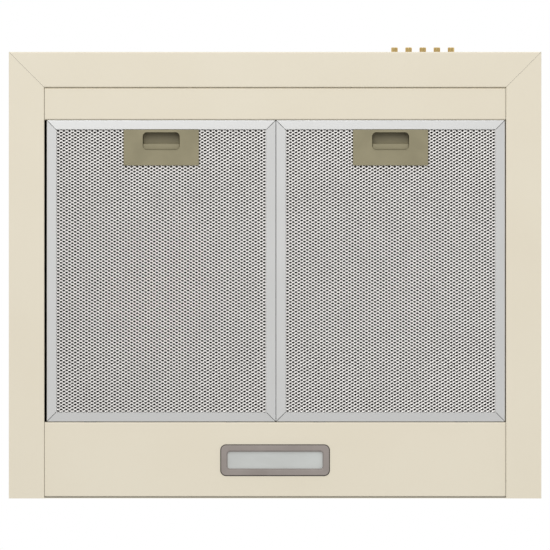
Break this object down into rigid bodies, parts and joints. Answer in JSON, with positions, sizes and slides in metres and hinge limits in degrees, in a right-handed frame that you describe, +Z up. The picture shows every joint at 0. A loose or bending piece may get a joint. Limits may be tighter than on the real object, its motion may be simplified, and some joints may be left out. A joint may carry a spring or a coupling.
{
  "type": "under cabinet range hood",
  "caption": "Under cabinet range hood in cream painted steel, with drop-down mesh grease filters, sliding latches, a rear lamp, brass push buttons, a blower and a flapped round outlet.",
  "frame": {"origin": "centre of the object's box in plan, on the plane of the underside", "axes": "+X to the hood's right as seen from the room, +Y towards the wall, +Z up"},
  "size_m": [0.6, 0.509, 0.18],
  "materials": {
    "cream_paint": "fine satin powder coat on steel sheet",
    "satin_aluminium": "satin rolled aluminium channel",
    "mesh_aluminium": "expanded aluminium foil",
    "olive_plastic": "matte moulded plastic",
    "taupe_plastic": "satin moulded plastic",
    "frosted_lens": "frosted diffuser",
    "brass": "polished turned brass",
    "black_plastic": "black moulded plastic",
    "grey_plastic": "grey moulded plastic",
    "zinc_steel": "zinc plated",
    "board_green": "solder resist on a circuit board",
    "capacitor_white": "moulded can",
    "lead_cover": "smooth sheath"
  },
  "bodies": {
    "casing": {"top_casing": "cream_paint", "left_side_panel": "cream_paint", "right_side_panel": "cream_paint", "front_fascia": "cream_paint", "front_strip": "cream_paint", "light_panel": "cream_paint", "lamp_bezel": "taupe_plastic", "lamp_lens": "frosted_lens", "led_board": "board_green", "lamp_housing": "taupe_plastic", "led_driver": "grey_plastic", "switch_body": "black_plastic", "switch_bracket": "zinc_steel", "blower_housing_left": "black_plastic", "blower_housing_right": "black_plastic", "motor_body": "zinc_steel", "motor_bracket": "zinc_steel", "capacitor": "capacitor_white", "terminal_box": "grey_plastic", "terminal_lid": "grey_plastic", "cable_gland": "black_plastic", "outlet_collar": "grey_plastic", "damper_pin": "zinc_steel", "switch_lead": "lead_cover", "lamp_lead": "lead_cover", "driver_lead": "lead_cover", "motor_lead": "lead_cover", "capacitor_lead": "lead_cover", "collar_screw_1": "zinc_steel", "collar_screw_2": "zinc_steel", "collar_screw_3": "zinc_steel", "collar_screw_4": "zinc_steel", "switch_screw_1": "zinc_steel", "switch_screw_2": "zinc_steel", "lid_screw_1": "zinc_steel", "lid_screw_2": "zinc_steel"},
    "filter_left": {"filter_frame_left": "satin_aluminium", "filter_mesh_left": "mesh_aluminium", "latch_housing_left": "olive_plastic"},
    "latch_left": {"latch_slider_left": "olive_plastic"},
    "filter_right": {"filter_frame_right": "satin_aluminium", "filter_mesh_right": "mesh_aluminium", "latch_housing_right": "olive_plastic"},
    "latch_right": {"latch_slider_right": "olive_plastic"},
    "button_light_body": {"button_light": "brass"},
    "button_off_body": {"button_off": "brass"},
    "button_speed_1_body": {"button_speed_1": "brass"},
    "button_speed_2_body": {"button_speed_2": "brass"},
    "button_speed_3_body": {"button_speed_3": "brass"},
    "fan": {"motor_shaft": "zinc_steel", "impeller_left": "grey_plastic", "impeller_right": "grey_plastic"},
    "flap_front": {"damper_flap_front": "grey_plastic"},
    "flap_rear": {"damper_flap_rear": "grey_plastic"}
  },
  "joints": [
    {"name": "filter_left_drop", "type": "hinge", "parent": "casing", "child": "filter_left", "pos_m": [-0.1283, 0.168, 0.002], "axis": [1, 0, 0], "range_deg": [0, 75]},
    {"name": "latch_left_slide", "type": "slide", "parent": "filter_left", "child": "latch_left", "axis": [0, 1, 0], "range_m": [0, 0.006], "stiffness_N_per_m": 400, "springref_m": -0.003},
    {"name": "filter_right_drop", "type": "hinge", "parent": "casing", "child": "filter_right", "pos_m": [0.1301, 0.168, 0.002], "axis": [1, 0, 0], "range_deg": [0, 75]},
    {"name": "latch_right_slide", "type": "slide", "parent": "filter_right", "child": "latch_right", "axis": [0, 1, 0], "range_m": [0, 0.006], "stiffness_N_per_m": 400, "springref_m": -0.003},
    {"name": "button_light_press", "type": "slide", "parent": "casing", "child": "button_light_body", "axis": [0, 1, 0], "range_m": [0, 0.003], "stiffness_N_per_m": 600, "springref_m": -0.002},
    {"name": "button_off_press", "type": "slide", "parent": "casing", "child": "button_off_body", "axis": [0, 1, 0], "range_m": [0, 0.003], "stiffness_N_per_m": 600, "springref_m": -0.002},
    {"name": "button_speed_1_press", "type": "slide", "parent": "casing", "child": "button_speed_1_body", "axis": [0, 1, 0], "range_m": [0, 0.003], "stiffness_N_per_m": 600, "springref_m": -0.002},
    {"name": "button_speed_2_press", "type": "slide", "parent": "casing", "child": "button_speed_2_body", "axis": [0, 1, 0], "range_m": [0, 0.003], "stiffness_N_per_m": 600, "springref_m": -0.002},
    {"name": "button_speed_3_press", "type": "slide", "parent": "casing", "child": "button_speed_3_body", "axis": [0, 1, 0], "range_m": [0, 0.003], "stiffness_N_per_m": 600, "springref_m": -0.002},
    {"name": "fan_spin", "type": "hinge", "parent": "casing", "child": "fan", "pos_m": [0, 0.1187, 0.08], "axis": [1, 0, 0], "continuous": true},
    {"name": "flap_front_open", "type": "hinge", "parent": "casing", "child": "flap_front", "pos_m": [0, 0.1045, 0.16], "axis": [-1, 0, 0], "range_deg": [0, 75]},
    {"name": "flap_rear_open", "type": "hinge", "parent": "casing", "child": "flap_rear", "pos_m": [0, 0.1045, 0.16], "axis": [1, 0, 0], "range_deg": [0, 75]}
  ]
}
